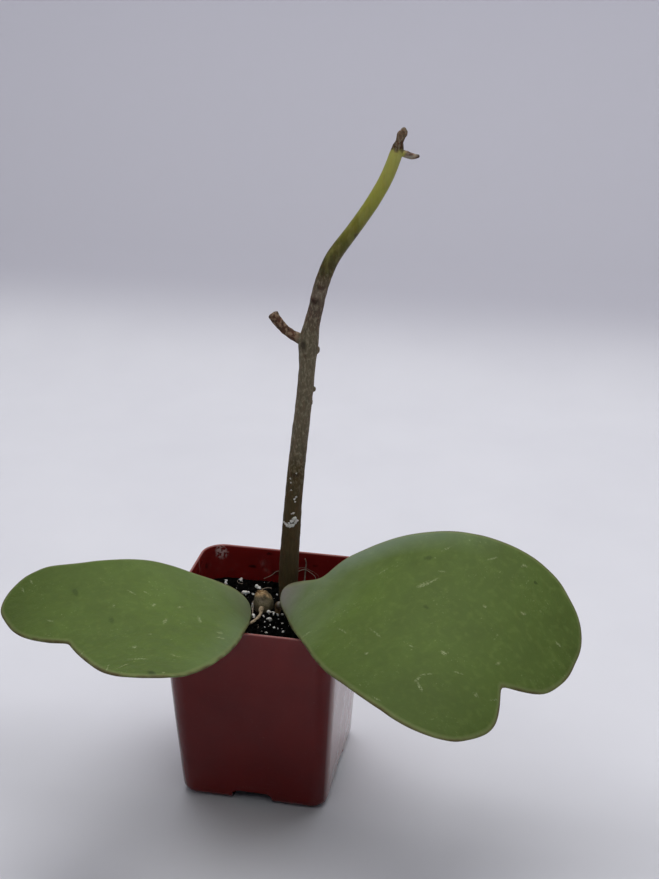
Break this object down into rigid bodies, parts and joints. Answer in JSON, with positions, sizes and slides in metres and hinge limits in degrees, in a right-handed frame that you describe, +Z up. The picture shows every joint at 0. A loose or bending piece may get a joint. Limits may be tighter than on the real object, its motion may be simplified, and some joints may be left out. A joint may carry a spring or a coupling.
{
  "type": "potted hoya plant",
  "caption": "Sweetheart hoya with a bare cut-back shoot, a cut stump and thick heart-shaped leaves, growing in a square tapered nursery pot.",
  "frame": {"origin": "middle of the pot's underside, on the surface that it stands on", "axes": "+Z up; the pot's front side faces -Y and +X is to the right of someone who looks at that side"},
  "size_m": [0.233, 0.1607, 0.2902],
  "materials": {
    "pot_plastic": "satin moulded polypropylene, dark red-brown",
    "potting_mix": "loose black bark and peat with white perlite",
    "bark": "matt grey-brown bark, green towards the tip",
    "cut_wood": "dry brown stump with a torn fibrous cut",
    "leaf": "thick waxy olive-green leaf, satin"
  },
  "bodies": {
    "root": {"pot": "pot_plastic", "soil": "potting_mix", "main_stem": "bark", "cut_stump": "cut_wood", "leaf_left": "leaf", "leaf_right": "leaf"}
  },
  "joints": []
}
